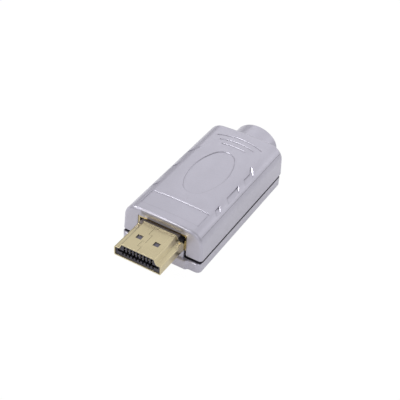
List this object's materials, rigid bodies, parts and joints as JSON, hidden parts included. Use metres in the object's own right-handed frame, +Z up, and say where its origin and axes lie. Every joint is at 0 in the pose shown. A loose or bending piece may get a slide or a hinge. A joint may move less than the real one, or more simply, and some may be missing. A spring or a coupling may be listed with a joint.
{
  "type": "digital video cable plug",
  "caption": "Flat metal-shelled video plug with a slotted contact insert in a two-part hood with rounded shoulders, side finger grips and an oval cable collar.",
  "frame": {"origin": "centre of the whole plug's footprint, on the surface that the base rests on", "axes": "+X across the plug, +Y from the plug's nose towards the cable collar, +Z up from the flat base to the crowned top; the narrow side of the plug faces up"},
  "size_m": [0.024, 0.0638, 0.013],
  "materials": {
    "silver_hood": "satin silver paint with a faint lilac tint on moulded plastic",
    "gold_shell": "bright pale gold plating on folded sheet",
    "gold_shield": "gold plated sheet",
    "gold_contact": "gold plated strip",
    "dark_insert": "dark purple-grey moulded plastic",
    "crimp_steel": "plain crimped ring"
  },
  "bodies": {
    "root": {"upper_casing": "silver_hood", "lower_casing": "silver_hood", "plug_shell": "gold_shell", "plug_insert": "dark_insert", "wire_comb": "dark_insert", "upper_shield": "gold_shield", "lower_shield": "gold_shield", "cable_crimp": "crimp_steel", "contact_01": "gold_contact", "contact_02": "gold_contact", "contact_03": "gold_contact", "contact_04": "gold_contact", "contact_05": "gold_contact", "contact_06": "gold_contact", "contact_07": "gold_contact", "contact_08": "gold_contact", "contact_09": "gold_contact", "contact_10": "gold_contact", "contact_11": "gold_contact", "contact_12": "gold_contact", "contact_13": "gold_contact", "contact_14": "gold_contact", "contact_15": "gold_contact", "contact_16": "gold_contact", "contact_17": "gold_contact", "contact_18": "gold_contact", "contact_19": "gold_contact"}
  },
  "joints": []
}
